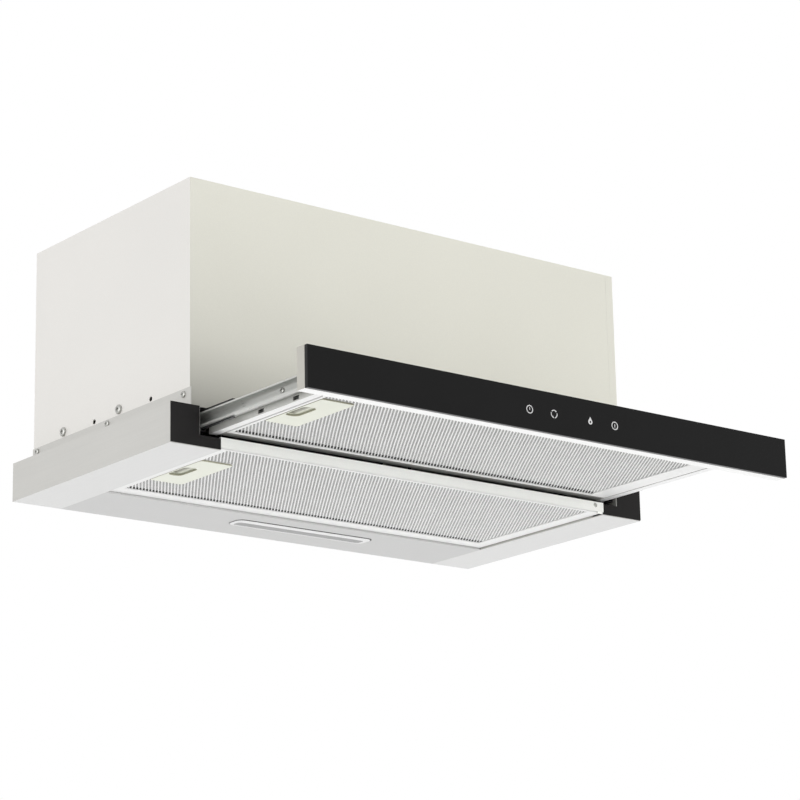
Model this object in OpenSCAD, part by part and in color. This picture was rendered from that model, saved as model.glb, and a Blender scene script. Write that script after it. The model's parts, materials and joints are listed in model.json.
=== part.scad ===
// Pull out range hood for a 600 mm wall cabinet, with its drawer pulled right out.
// Frame: x = 0 is the centre line, y = 0 the front plane of the base, +y goes back,
// z = 0 is the top of the base, which butts against the underside of the cabinet.

/* [Base] */
// Width of the base and of the glass front
hood_w = 598; // [594:1:602]
// Depth of the base from its front plane to its back
hood_d = 288.8; // [286:0.2:292]
// Height of the base that shows below the cabinet
base_h = 40; // [39:0.5:42]
// Thickness of the folded sheet
sheet = 1; // [0.8:0.1:1.2]
// From the centre to the inner edge of the left lower wing
wing_x = 242; // [241.6:0.2:243]
// From the centre to the inner edge of the right lower wing
wing_right = 246; // [245.6:0.2:246.4]
// Height of the flange that grips the casing
flange_h = 18; // [16:1:20]

/* [Casing] */
// Width of the casing that goes up into the cabinet
casing_w = 550; // [548:1:552]
// Height of the casing above the base
casing_h = 229.4; // [226:0.2:234]
// Setback of the casing front behind the front plane
casing_y = 3.6; // [3:0.2:4]
// Width of the side panel's strip that laps the front
lap_w = 9.7; // [8:0.1:12]
// Radius of the holes for the screws into the cabinet
cabinet_hole_r = 2.5; // [2:0.1:3]
// Distance between those two holes
cabinet_hole_gap = 102; // [98:1:106]

/* [Drawer] */
// Travel of the drawer from pulled out to shut
travel = 199; // [197:0.5:199]
// Height of the glass front
glass_h = 40; // [38:0.5:41]
// Thickness of the glass
glass_t = 4; // [3:0.5:5]
// Depth of the metal profile behind the glass
profile_d = 11.5; // [11:0.5:13]
// Half width of the drawer over its side plates
drawer_x = 251; // [250.8:0.1:251.2]
// Height of the drawer side plates
drawer_h = 21; // [20:0.5:21.5]

/* [Slides] */
// Length of the fixed member
slide_l = 264; // [255:1:266]
// Height of the member that rides on the drawer
inner_h = 15; // [14.5:0.1:15]
// Length of the ball cage
cage_l = 106; // [80:1:110]

/* [Filters] */
// Thickness of a filter frame
filter_t = 9; // [8:0.5:9]
// Half width of the front filter frame, and of the rear one to the left
filter_x = 240.5; // [240:0.1:240.8]
// Pitch of the rows in the mesh
mesh_pitch = 3.95; // [3.8:0.05:5]
// Width of a slot in the mesh
mesh_slot = 2.1; // [1.6:0.1:2.4]
// Travel of the latch
latch_travel = 5; // [4:0.5:5]

/* [Blower] */
// Outside radius of the impeller
impeller_r = 68; // [60:1:70]
// Number of impeller blades
blade_count = 36; // [24:2:40]
// Half width of the blower housing
scroll_x = 60; // [56:1:62]
// Radius of the motor
motor_r = 40; // [34:1:42]

/* [Outlet] */
// Outside radius of the duct collar
collar_r = 59.5; // [59:0.1:59.8]
// Height of the duct collar above the casing
collar_h = 34; // [30:1:36]

/* [Hidden] */
$fn = 48;
eps = 0.01;
low = -base_h;
half_w = hood_w / 2;
case_x = casing_w / 2;
case_top = casing_h;
plate_z = case_top - sheet;

// Side features, as [y, z] on the casing side
cabinet_holes = [[71.2, 21.7], [71.2 + cabinet_hole_gap, 21.7]];
big_screws = [[127.6, 24], [231, 24]];
flange_screw_at = [[13, 12.5], [147.3, 13.7], [280.2, 13.7]];

// Base: the box section at each side, and the wall that carries the slide
rail_x = 265.5;
lip_h = 8;
rear_plate_y = 203;
cap_x = 266.4;
cap_arm_h = 11.5;
cap_depth = 16;
beam_z = [low + 2.8, low + 12.8];
pivot_r = 1.2;
pivot_fit = 0.08;
front_pivot_x = 238.7;
rear_pivot_x = 242.7;
rivet_x = 234.6;

// Lamp in the rear plate
lamp_at = [26.5, 242];
lamp_window = [166, 13];
lamp_neck = [170, 16];
lamp_rim_at = [26.3, 239];
lamp_rim = [179.5, 24];
lamp_proud = 0.8;

// Drawer: its levels and its depths, at rest pulled right out
drawer_z = low + 16;
profile_y = -travel - 1.5;
glass_y = profile_y - profile_d;
glass_z = low + 2.5;
profile_wall = 1.5;
beam_back = 7;
beam_front = -6.5;
cover_z = drawer_z + drawer_h;
icon_z = low + 21.8;
icon_x = [-41.3, -11, 34.6, 66];
icon_t = 0.15;

// Slides: the inner member's outer edge, its top, and the fixed member round it
inner_x = 262;
inner_z = low + 21;
slide_y = 6;
outer_gap = 2.5;
slide_screw_y = [-185, -114];
slide_screw_z = inner_z + 9.5;
cage_front = -46;
ball_r = 1.1;

// Filters as [front y, back y], mesh windows as [x0, x1, y0, y1]
front_filter_y = [profile_y + 1.5, beam_front - 1];
rear_filter_y = [3, 202];
rear_filter_right = 244.5;
rear_filter_z = low + 2;
front_pivot_z = drawer_z + 3.5;
rear_pivot_z = rear_filter_z + 1.6;
front_window = [-236.5, 218.5, front_filter_y[0] + 4, front_filter_y[1] - 4];
rear_window = [-231, 228.5, 6, 185];
latch_w = 38;
latch_l = 90;
front_latch_at = [-236, -152.5];
rear_latch_at = [-231, 50];
grip = [15.5, 34];
tongue_offsets = [19.5, 74.5];
tongue_w = 8;
latch_room = latch_w - 5;
spring_l = latch_travel + 4;
latch_body = latch_room - spring_l;
spring_r = 1.5;
spring_wire_r = 0.35;

// Blower
scroll_at = [180, 100];
scroll_r = 92;
scroll_wall = 2;
blade_ring_r = impeller_r - 10.7;
duct_y = [88, 208];
fan_at = [184, 98];
inlet_r = 54;
shaft_r = 4;
shaft_fit = 0.05;
// Angles of the motor bracket's arms, and how far out they are held
arm_angles = [30, 150, 270];
arm_r = 62;
outlet_y = 148;
collar_wall = 2.2;
collar_flange_r = 68;
flap_z = case_top + 7;
flap_x = 2.6;
flap_r = 56;
flap_pin_r = 1.5;
flap_pin_fit = 0.06;

// Control box under the top plate
box_from = [170, 30, case_top - 41.4];
box_to = [262, 128, plate_z];
box_wall = 2;
board_z = box_from[2] + 12;
board_t = 1.6;
inlet_at = [216, 60];
grommet_r = 3.5;

// ---- helpers ----

// A block between two opposite corners
module block(from, to) translate(from) cube(to - from);

// A cylinder along x from x0 to x1, at y and z
module rod_x(r, x0, x1, y, z) translate([x0, y, z]) rotate([0, 90, 0]) cylinder(r = r, h = x1 - x0);

// A cylinder along y from y0 to y1, at x and z
module rod_y(r, y0, y1, x, z) translate([x, y1, z]) rotate([90, 0, 0]) cylinder(r = r, h = y1 - y0);

// An outline drawn in y and z, stretched along x from x0 to x1
module along_x(x0, x1) translate([x0, 0, 0]) rotate([90, 0, 90]) linear_extrude(x1 - x0) children();

// A round-cornered slab, centred at a point, from z0 to z1
module slab(centre, size, corner, z0, z1) {
    reach = [size[0] / 2 - corner, size[1] / 2 - corner];
    translate([centre[0], centre[1], z0]) {
        translate([-size[0] / 2, -reach[1], 0]) cube([size[0], 2 * reach[1], z1 - z0]);
        translate([-reach[0], -size[1] / 2, 0]) cube([2 * reach[0], size[1], z1 - z0]);
        for (sx = [-1, 1], sy = [-1, 1])
            translate([sx * reach[0], sy * reach[1], 0]) cylinder(r = corner, h = z1 - z0);
    }
}

// A round lead swept through a list of points, with a ring at each
function unit(v) = v / norm(v);
function heading(points, i) = unit(
    (i == 0 ? [0, 0, 0] : unit(points[i] - points[i - 1])) +
    (i == len(points) - 1 ? [0, 0, 0] : unit(points[i + 1] - points[i])));
function lead_ring(at, along, reference, r, sides) =
    let (side = unit(cross(reference, along)), rise = cross(along, side))
    [for (k = [0 : sides - 1]) at + r * (cos(k * 360 / sides) * side + sin(k * 360 / sides) * rise)];

module lead(points, r, sides = 10, reference = [0.31, 0.23, 0.92]) {
    last = len(points) - 1;
    rings = [for (i = [0 : last]) each lead_ring(points[i], heading(points, i), reference, r, sides)];
    walls = [for (i = [0 : last - 1], k = [0 : sides - 1])
        let (a = i * sides + k, b = i * sides + (k + 1) % sides)
        each [[a, b + sides, b], [a, a + sides, b + sides]]];
    start = [for (k = [1 : sides - 2]) [0, k, k + 1]];
    finish = [for (k = [1 : sides - 2]) [last * sides, last * sides + k + 1, last * sides + k]];
    polyhedron(rings, concat(start, walls, finish));
}

module on_right() mirror([1, 0, 0]) children();

// ---- casing ----

// The holes that go through a casing side, for the cabinet screws and the hood's own
module side_holes(x0, x1) {
    for (p = cabinet_holes) rod_x(cabinet_hole_r, x0, x1, p[0], p[1]);
    for (p = big_screws) rod_x(2.1, x0, x1, p[0], p[1]);
    for (p = flange_screw_at) rod_x(1.9, x0, x1, p[0], p[1]);
}

// Front and left side, folded from one sheet
module casing_front_shell() color([0.86, 0.86, 0.81]) difference() {
    union() {
        block([-case_x, casing_y, 0], [case_x - lap_w - 0.1, casing_y + sheet, case_top]);
        block([case_x - lap_w - 2, casing_y + sheet, 0], [case_x - 3, casing_y + 2 * sheet, plate_z]);
        block([-case_x, casing_y, 0], [-case_x + sheet, hood_d, case_top]);
        block([-238, casing_y, 0], [238, casing_y + 10, sheet]);
    }
    side_holes(-case_x - 1, -case_x + sheet + 1);
}

// Right side, with the strip that laps the front
module casing_right_side() color([0.88, 0.88, 0.86]) difference() {
    union() {
        block([case_x - sheet, casing_y, 0], [case_x, hood_d, case_top]);
        block([case_x - lap_w, casing_y, 0], [case_x, casing_y + sheet, case_top]);
    }
    side_holes(case_x - sheet - 1, case_x + 1);
}

module casing_rear_panel() color([0.84, 0.84, 0.82])
    block([-case_x + sheet, hood_d - sheet, 0], [case_x - sheet, hood_d, case_top]);

module casing_top_plate() color([0.86, 0.86, 0.83]) difference() {
    block([-case_x + sheet, casing_y + sheet, plate_z], [case_x - sheet, hood_d - sheet, case_top]);
    translate([0, outlet_y, plate_z - 1]) cylinder(r = collar_r - collar_wall, h = 3, $fn = 72);
    translate([inlet_at[0], inlet_at[1], plate_z - 1]) cylinder(r = 6, h = 3);
}

// ---- base ----

// The inner edge of its wing is at a distance inner from the centre
module base_side(inner) difference() {
    union() {
        // lower wing, outer wall and top of the box section
        block([-half_w, sheet, low], [-inner, hood_d, low + sheet]);
        block([-half_w, sheet, low], [-half_w + sheet, hood_d, 0]);
        block([-half_w, sheet, -sheet], [-rail_x, hood_d, 0]);
        // wall that carries the slide
        block([-rail_x - sheet, sheet, low], [-rail_x, hood_d, 0]);
        // flange that grips the casing, and the lip along the wing
        block([-case_x - sheet, sheet, 0], [-case_x, hood_d, flange_h]);
        block([-inner - sheet, cap_depth + 2, low], [-inner, hood_d - sheet, low + lip_h]);
        // closing tab at the back of the box section
        block([-half_w, hood_d - sheet, low], [-rail_x, hood_d, 0]);
    }
    for (p = flange_screw_at) rod_x(1.9, -case_x - 3, -case_x + 1, p[0], p[1]);
}

module base_side_left() color([0.8, 0.79, 0.77]) difference() {
    base_side(wing_x);
    // slots for the two tongues of the rear filter's latch
    for (t = tongue_offsets)
        translate([-wing_x - 2, rear_latch_at[1] + t - tongue_w / 2 - 0.5, rear_filter_z + 2])
            cube([4, tongue_w + 1, 3.5]);
}

module base_side_right() color([0.8, 0.79, 0.77]) on_right() base_side(wing_right);

module rear_base_plate() color([0.8, 0.8, 0.8]) difference() {
    union() {
        block([-wing_x, rear_plate_y, low], [wing_right, hood_d, low + sheet]);
        block([-wing_x, rear_plate_y, low], [wing_right, rear_plate_y + sheet, low + lip_h]);
        block([-rail_x, hood_d - sheet, low + sheet], [rail_x, hood_d, 0]);
    }
    slab(lamp_at, lamp_neck, 4, low - 1, low + 3);
    rod_y(pivot_r + pivot_fit, rear_plate_y - 1, rear_plate_y + 3, rear_pivot_x, rear_pivot_z);
}

// Strip across the front, below the drawer, with the lug for the rear filter's pivot
module front_beam() color([0.93, 0.94, 0.92]) difference() {
    union() {
        block([-wing_x, 0, beam_z[0]], [wing_right, sheet, beam_z[1]]);
        block([-wing_x, 0, beam_z[1] - sheet], [wing_right, 10, beam_z[1]]);
        block([rear_pivot_x - 4, sheet, low + sheet], [rear_pivot_x + 3, 2.6, beam_z[1]]);
    }
    rod_y(pivot_r + pivot_fit, sheet + eps, 4, rear_pivot_x, rear_pivot_z);
    rod_y(1.45, -1, 3, rivet_x, low + 9);
}

// Moulding at one end of the opening, with an arm below the drawer
module end_cap(inner) {
    block([-half_w, 0, low + 0.7], [-cap_x, sheet, 0]);
    block([-half_w, 0, low + 0.7], [-inner, sheet, low + cap_arm_h]);
    block([-half_w + sheet, sheet, low + sheet], [-rail_x - sheet, cap_depth, -sheet]);
    block([-rail_x, sheet, low + sheet], [-inner, cap_depth, low + cap_arm_h]);
}

module end_cap_left() color([0.17, 0.16, 0.16]) end_cap(wing_x);

module end_cap_right() color([0.17, 0.16, 0.16]) on_right() end_cap(wing_right);

module beam_rivet() color([0.78, 0.78, 0.76]) {
    rod_y(2.4, -0.6, 0, rivet_x, low + 9);
    rod_y(1.4, 0, 1.8, rivet_x, low + 9);
}

// A pan-head screw on the left side, its head out of the face at x
module side_screw(x, at, head_r, head_t, shank_r, shank_l) {
    rod_x(head_r, x - head_t, x, at[0], at[1]);
    rod_x(shank_r, x, x + shank_l, at[0], at[1]);
}

module flange_screws() color([0.75, 0.75, 0.73])
    for (p = flange_screw_at) {
        side_screw(-case_x - sheet, p, 3.4, 1.8, 1.8, 6);
        on_right() side_screw(-case_x - sheet, p, 3.4, 1.8, 1.8, 6);
    }

module side_screws() color([0.78, 0.78, 0.76])
    for (p = big_screws) {
        side_screw(-case_x, p, 4.8, 2.6, 2, 8);
        on_right() side_screw(-case_x, p, 4.8, 2.6, 2, 8);
    }

// ---- lamp ----

module lamp_bezel() color([0.9, 0.9, 0.9]) difference() {
    union() {
        slab(lamp_rim_at, lamp_rim, 5, low - lamp_proud, low);
        slab(lamp_at, lamp_neck - [0.4, 0.4], 3.8, low, low + 7);
    }
    slab(lamp_at, lamp_window, 4, low - 2, low + 1);
    slab(lamp_at, lamp_neck - [3.4, 3.4], 2.5, low, low + 8);
}

module lamp_lens() color([0.72, 0.72, 0.72]) {
    slab(lamp_at, lamp_window - [0.3, 0.3], 3.8, low - 0.5, low);
    slab(lamp_at, lamp_neck - [3.8, 3.8], 2.3, low, low + 1.5);
}

module lamp_board() color([0.94, 0.94, 0.9]) {
    slab(lamp_at, lamp_neck - [3.4, 3.4], 2.5, low + 3.5, low + 5);
    for (i = [0 : 11])
        translate([lamp_at[0] - 77 + 14 * i - 1.4, lamp_at[1] - 1.4, low + 2.6]) cube([2.8, 2.8, 1]);
}

// ---- slides ----

// Fixed member: a channel open towards the drawer
module slide_outer() difference() {
    outer_z = [inner_z - outer_gap, inner_z + inner_h + outer_gap];
    block([-rail_x, slide_y, outer_z[0] - sheet], [-drawer_x - 4, slide_y + slide_l, outer_z[1] + sheet]);
    block([-rail_x + sheet, slide_y - 1, outer_z[0]], [-drawer_x, slide_y + slide_l + 1, outer_z[1]]);
}

module slide_outer_left() color([0.8, 0.8, 0.8]) slide_outer();
module slide_outer_right() color([0.8, 0.8, 0.8]) on_right() slide_outer();

// Moving member: a channel open outwards, screwed to the drawer side
module slide_inner() difference() {
    back = profile_y + slide_l + 4;
    block([-inner_x, profile_y, inner_z], [-drawer_x, back, inner_z + inner_h]);
    block([-inner_x - 1, profile_y - 1, inner_z + sheet],
          [-drawer_x - sheet, back + 1, inner_z + inner_h - sheet]);
    for (y = slide_screw_y) rod_x(1.6, -inner_x, -drawer_x + 1, y, slide_screw_z);
}

module slide_inner_left() color([0.86, 0.87, 0.86]) slide_inner();
module slide_inner_right() color([0.86, 0.87, 0.86]) on_right() slide_inner();

// Ball cage: two strips with their balls, joined by a bridge behind the moving member
module slide_cage() {
    front = cage_front;
    mid = [inner_z - outer_gap / 2, inner_z + inner_h + outer_gap / 2];
    for (z = mid) {
        block([-260.5, front, z - 0.5], [-257.5, front + cage_l, z + 0.5]);
        for (i = [0 : 7]) translate([-259, front + 7 + 12 * i, z]) sphere(r = ball_r - 0.15, $fn = 16);
    }
    block([-263.6, front + cage_l - 10, mid[0] - 0.5], [-262.6, front + cage_l, mid[1] + 0.5]);
    for (z = mid) block([-263.6, front + cage_l - 10, z - 0.5], [-257.5, front + cage_l, z + 0.5]);
}

module slide_cage_left() color([0.12, 0.12, 0.12]) slide_cage();
module slide_cage_right() color([0.12, 0.12, 0.12]) on_right() slide_cage();

module slide_screws() color([0.75, 0.75, 0.73])
    for (y = slide_screw_y, side = [0, 1]) mirror([side, 0, 0]) {
        rod_x(3, -drawer_x - sheet - 1.6, -drawer_x - sheet, y, slide_screw_z);
        rod_x(1.5, -drawer_x - sheet, -drawer_x + 2.5, y, slide_screw_z);
    }

// ---- drawer ----

module drawer_side() difference() {
    union() {
        block([-drawer_x, profile_y, drawer_z], [-drawer_x + sheet, beam_back, cover_z]);
        block([-drawer_x, profile_y, drawer_z], [-filter_x - 1.6, beam_back, drawer_z + sheet]);
    }
    for (y = slide_screw_y) rod_x(1.6, -drawer_x - 1, -drawer_x + 2, y, slide_screw_z);
}

module drawer_side_left() color([0.76, 0.76, 0.75]) difference() {
    drawer_side();
    // slots for the two tongues of the front filter's latch
    for (t = tongue_offsets)
        translate([-drawer_x - 1, front_latch_at[1] + t - tongue_w / 2 - 0.5, drawer_z + 1.5])
            cube([3, tongue_w + 1, 4]);
}

module drawer_side_right() color([0.76, 0.76, 0.75]) on_right() drawer_side();

// Cross member at the back of the drawer, with the hole for the filter's pivot
module drawer_rear_beam() color([0.42, 0.42, 0.41]) difference() {
    reach = drawer_x - sheet;
    union() {
        block([-reach, beam_front, drawer_z + sheet], [reach, beam_back, drawer_z + 2 * sheet]);
        block([-reach, beam_front, drawer_z + sheet], [reach, beam_front + sheet, drawer_z + 7]);
    }
    rod_y(pivot_r + pivot_fit, beam_front - 1, beam_front + 3, front_pivot_x, front_pivot_z);
}

module drawer_top_cover() color([0.86, 0.86, 0.83]) {
    block([-drawer_x, profile_y, cover_z], [drawer_x, beam_back, cover_z + sheet]);
    block([-drawer_x + sheet, profile_y, cover_z - 4], [-drawer_x + 2 * sheet, beam_back, cover_z]);
    block([drawer_x - 2 * sheet, profile_y, cover_z - 4], [drawer_x - sheet, beam_back, cover_z]);
}

// Extruded profile that carries the glass, closed at both ends
module front_profile() color([0.78, 0.78, 0.77]) difference() {
    block([-half_w, glass_y, glass_z], [half_w, profile_y, glass_z + glass_h]);
    hollow_x = half_w - profile_wall;
    hollow_z = [glass_z + profile_wall, glass_z + glass_h - profile_wall];
    block([-hollow_x, glass_y + profile_wall, hollow_z[0]],
          [hollow_x, profile_y - profile_wall, hollow_z[1]]);
    // open back between the two rear lips
    block([-hollow_x, profile_y - 3, drawer_z + 5], [hollow_x, profile_y + 1, drawer_z + 18]);
    // window behind the touch keys
    block([-65, glass_y - 1, low + 10], [95, glass_y + 3, low + 34]);
    rod_y(pivot_r + pivot_fit, profile_y - 3, profile_y + 1, front_pivot_x, front_pivot_z);
}

module glass_panel() color([0.14, 0.14, 0.14])
    block([-half_w, glass_y - glass_t, glass_z], [half_w, glass_y, glass_z + glass_h]);

// A flat figure drawn in x and z on the front face of the glass
module on_glass(x) translate([x, glass_y - glass_t, icon_z]) rotate([90, 0, 0])
    linear_extrude(icon_t) children();

module icon_ring() difference() {
    circle(r = 4.1);
    circle(r = 3.2);
}

module touch_icons() color([0.85, 0.85, 0.85]) {
    on_glass(icon_x[0]) {
        icon_ring();
        translate([-0.4, -0.6]) square([0.8, 2.6]);
    }
    on_glass(icon_x[1]) difference() {
        icon_ring();
        for (a = [30, 150, 270]) rotate(a) translate([2, -0.6]) square([3, 1.2]);
    }
    on_glass(icon_x[2]) difference() {
        union() {
            translate([0, -0.8]) circle(r = 2.6);
            polygon([[-2.3, 0.4], [2.3, 0.4], [0, 4.2]]);
        }
        translate([0, -0.8]) circle(r = 1.1);
    }
    on_glass(icon_x[3]) {
        icon_ring();
        translate([-0.4, -1.7]) square([0.8, 3.4]);
    }
}

module touch_board() color([0.1, 0.35, 0.2]) {
    block([-60, glass_y, low + 12], [90, glass_y + 1.5, low + 32]);
    block([60, glass_y + 1.5, low + 24], [80, glass_y + 5, low + 31]);
}

// Lead from the touch board to its plug at the back of the drawer
module touch_lead() color([0.1, 0.1, 0.1]) {
    along = (glass_y + profile_y) / 2;
    at = [243, low + 27.5];
    lead([[78, along, at[1]], [at[0], along, at[1]], [at[0], -190, at[1]], [at[0], beam_front, at[1]]], 1.5);
    block([at[0] - 4, beam_front, at[1] - 2.1], [at[0] + 4, beam_back, at[1] + 2.1]);
}

// ---- filters ----

// Folded frame round a mesh window, out to right, with a pivot pin at each right-hand corner.
// pivot is [x, z], and pins are the outer ends of the two pins.
module filter_frame(right, y, z, window, latch_at, pivot, pins) {
    difference() {
        block([-filter_x, y[0], z], [right, y[1], z + filter_t]);
        block([-filter_x + sheet, y[0] + sheet, z + sheet],
              [right - sheet, y[1] - sheet, z + filter_t - sheet]);
        block([window[0], window[2], z - 1], [window[1], window[3], z + 2]);
        block([-filter_x + 4, y[0] + 4, z + filter_t - 2], [right - 4, y[1] - 4, z + filter_t + 1]);
        for (t = tongue_offsets)
            translate([-filter_x - 1, latch_at[1] + t - tongue_w / 2 - 0.4, z + 1.6])
                cube([3, tongue_w + 0.8, 3.8]);
    }
    rod_y(pivot_r, pins[0], y[0] + sheet, pivot[0], pivot[1]);
    rod_y(pivot_r, y[1] - sheet, pins[1], pivot[0], pivot[1]);
}

// Slotted sheet that fills the window, with a corner left out for the latch
module filter_mesh(right, y, z, window, latch_at) {
    rows = floor((window[1] - window[0]) / mesh_pitch);
    start = (window[0] + window[1] - rows * mesh_pitch) / 2;
    difference() {
        block([-filter_x + sheet, y[0] + sheet, z + sheet], [right - sheet, y[1] - sheet, z + sheet + 2]);
        for (i = [0 : rows - 1])
            translate([start + i * mesh_pitch + (mesh_pitch - mesh_slot) / 2, window[2] + 1.5, z])
                cube([mesh_slot, window[3] - window[2] - 3, 5]);
        block([-filter_x, latch_at[1] - 1, z],
              [latch_at[0] + latch_w + 1, latch_at[1] + latch_l + 1, z + 5]);
    }
}

// Moulded plate with a finger recess and the guides of the latch
module latch_plate(at, z) {
    centre = [at[0] + grip[0] / 2 + 1.5, at[1] + latch_l / 2];
    difference() {
        union() {
            slab([at[0] + latch_w / 2, centre[1]], [latch_w, latch_l], 3, z - 0.4, z + sheet);
            slab([at[0] + latch_w / 2, centre[1]], [latch_w - 2, latch_l - 2], 2, z + sheet, z + 7.6);
        }
        slab(centre, grip, 6, z - 1, z + 2);
        // room inside for the latch and its springs
        block([at[0] - 1, at[1] + 4, z + 1.4], [at[0] + latch_room, at[1] + latch_l - 4, z + 6]);
    }
    // ledge that clips under the frame's upper lip
    block([-filter_x + sheet, at[1] + 6, z + 6], [at[0] + 2, at[1] + latch_l - 6, z + filter_t - sheet]);
}

// Sliding latch: a finger tray with two tongues that point at the side plate
module latch_slider(at, z) {
    difference() {
        block([at[0] + 0.5, at[1] + 8, z + 1.8], [at[0] + latch_body, at[1] + latch_l - 8, z + 5.6]);
        translate([at[0] + grip[0] / 2 + 2.5, at[1] + latch_l / 2, z + 2.6]) rotate([0, 14, 0])
            translate([-grip[0] / 2, -grip[1] / 2 + 2, -4]) cube([grip[0] - 1, grip[1] - 4, 4]);
    }
    for (t = tongue_offsets)
        translate([-filter_x - 0.3, at[1] + t - tongue_w / 2, z + 2.4])
            cube([at[0] + filter_x + 1.3, tongue_w, 2.2]);
}

// Two coil springs that push the latch towards the side plate
module latch_springs(at, z) {
    turns = 5;
    steps = 8;
    start = at[0] + latch_body + spring_wire_r;
    length = spring_l - 2 * spring_wire_r;
    for (y = [at[1] + 24, at[1] + 66])
        lead([for (i = [0 : turns * steps])
            [start + length * i / (turns * steps),
             y + spring_r * cos(i * 360 / steps),
             z + 3.7 + spring_r * sin(i * 360 / steps)]], spring_wire_r, 6, [1, 0, 0]);
}

module front_filter_frame() color([0.92, 0.92, 0.9])
    filter_frame(filter_x, front_filter_y, drawer_z, front_window, front_latch_at,
                 [front_pivot_x, front_pivot_z], [profile_y - 1.4, beam_front + 1.2]);
module front_filter_mesh() color([0.7, 0.7, 0.7])
    filter_mesh(filter_x, front_filter_y, drawer_z, front_window, front_latch_at);
module front_latch_plate() color([0.93, 0.94, 0.87]) latch_plate(front_latch_at, drawer_z);
module front_latch_slider() color([0.9, 0.91, 0.84]) latch_slider(front_latch_at, drawer_z);
module front_latch_springs() color([0.6, 0.6, 0.6]) latch_springs(front_latch_at, drawer_z);

module rear_filter_frame() color([0.92, 0.92, 0.9])
    filter_frame(rear_filter_right, rear_filter_y, rear_filter_z, rear_window, rear_latch_at,
                 [rear_pivot_x, rear_pivot_z], [1.4, rear_plate_y + 0.8]);
module rear_filter_mesh() color([0.7, 0.7, 0.7])
    filter_mesh(rear_filter_right, rear_filter_y, rear_filter_z, rear_window, rear_latch_at);
module rear_latch_plate() color([0.93, 0.94, 0.87]) latch_plate(rear_latch_at, rear_filter_z);
module rear_latch_slider() color([0.9, 0.91, 0.84]) latch_slider(rear_latch_at, rear_filter_z);
module rear_latch_springs() color([0.6, 0.6, 0.6]) latch_springs(rear_latch_at, rear_filter_z);

// ---- outlet ----

module outlet_collar() color([0.13, 0.13, 0.13]) translate([0, outlet_y, 0]) difference() {
    union() {
        translate([0, 0, case_top]) cylinder(r = collar_flange_r, h = 2, $fn = 72);
        translate([0, 0, case_top]) cylinder(r = collar_r, h = collar_h, $fn = 72);
    }
    difference() {
        translate([0, 0, case_top - 1]) cylinder(r = collar_r - collar_wall, h = collar_h + 2, $fn = 72);
        // seat ring and centre bar that the flaps close on
        difference() {
            translate([0, 0, case_top]) cylinder(r = collar_r, h = 4.5, $fn = 72);
            translate([0, 0, case_top - 1]) cylinder(r = collar_r - collar_wall - 4, h = 7, $fn = 72);
        }
        block([-1.5, -collar_r, case_top], [1.5, collar_r, case_top + 4.5]);
    }
    for (x = [-flap_x, flap_x])
        rod_y(flap_pin_r + flap_pin_fit, -collar_r - 1, collar_r + 1, x, flap_z);
}

// Half-round flap on its own pivot pin, on the right of the centre bar
module flap() translate([0, outlet_y, 0]) {
    rod_y(flap_pin_r, -collar_r + 0.3, collar_r - 0.3, flap_x, flap_z);
    intersection() {
        translate([0, 0, flap_z - 0.7]) cylinder(r = flap_r, h = 1.4, $fn = 72);
        block([flap_x, -flap_r, flap_z - 1], [flap_r, flap_r, flap_z + 1]);
    }
}

module flap_right() color([0.2, 0.2, 0.2]) flap();
module flap_left() color([0.2, 0.2, 0.2]) on_right() flap();

// ---- blower ----

module scroll_outline(inset) {
    translate(scroll_at) circle(r = scroll_r - inset, $fn = 96);
    translate([duct_y[0] + inset, scroll_at[1]])
        square([duct_y[1] - duct_y[0] - 2 * inset, plate_z - scroll_at[1] + (inset > 0 ? 1 : 0)]);
}

// Side plate of the blower housing, with its round air inlet
module blower_side() difference() {
    along_x(scroll_x - scroll_wall, scroll_x) scroll_outline(0);
    rod_x(inlet_r, scroll_x - scroll_wall - 1, scroll_x + 1, fan_at[0], fan_at[1]);
}

module blower_side_right() color([0.3, 0.3, 0.32]) blower_side();
module blower_side_left() color([0.3, 0.3, 0.32]) on_right() blower_side();

// Curved wall between the two side plates, open at the top into the outlet
module blower_wrap() color([0.3, 0.3, 0.32]) difference() {
    along_x(-scroll_x + scroll_wall, scroll_x - scroll_wall) scroll_outline(0);
    along_x(-scroll_x, scroll_x) scroll_outline(scroll_wall);
}

// Double-inlet wheel: a centre disc with its hub, two end rings, and the blades between them
module impeller_disc() color([0.25, 0.25, 0.27]) on_fan_axis(0) difference() {
    union() {
        translate([0, 0, -1]) cylinder(r = blade_ring_r, h = 2, $fn = 72);
        translate([0, 0, -12]) cylinder(r = 12, h = 16);
    }
    translate([0, 0, -13]) cylinder(r = shaft_r, h = 20);
}

module impeller_rings() color([0.25, 0.25, 0.27]) on_fan_axis(0)
    for (z = [-52, 49]) translate([0, 0, z]) difference() {
        cylinder(r = impeller_r, h = 3, $fn = 72);
        translate([0, 0, -1]) cylinder(r = blade_ring_r, h = 5, $fn = 72);
    }

module impeller_blades() color([0.25, 0.25, 0.27]) on_fan_axis(0)
    for (i = [0 : blade_count - 1])
        rotate(i * 360 / blade_count) translate([impeller_r - 9.5, 0, -49]) rotate(25)
            translate([-1, -0.5, 0]) cube([9, 1, 98]);

module motor_rotor() color([0.55, 0.55, 0.56]) {
    rod_x(shaft_r, -12, 66, fan_at[0], fan_at[1]);
    rod_x(18, 16, 50, fan_at[0], fan_at[1]);
}

// Motor body with its windings, hollow for the rotor
module motor_stator() color([0.45, 0.4, 0.35]) difference() {
    union() {
        rod_x(motor_r, 18, 48, fan_at[0], fan_at[1]);
        rod_x(motor_r - 8, 8, 62, fan_at[0], fan_at[1]);
    }
    rod_x(18.6, 11, 58, fan_at[0], fan_at[1]);
    rod_x(shaft_r + shaft_fit, 0, 70, fan_at[0], fan_at[1]);
}

// Puts a shape drawn round the z axis on the fan's axis, at x
module on_fan_axis(x) translate([x, fan_at[0], fan_at[1]]) rotate([0, 90, 0]) children();

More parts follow.
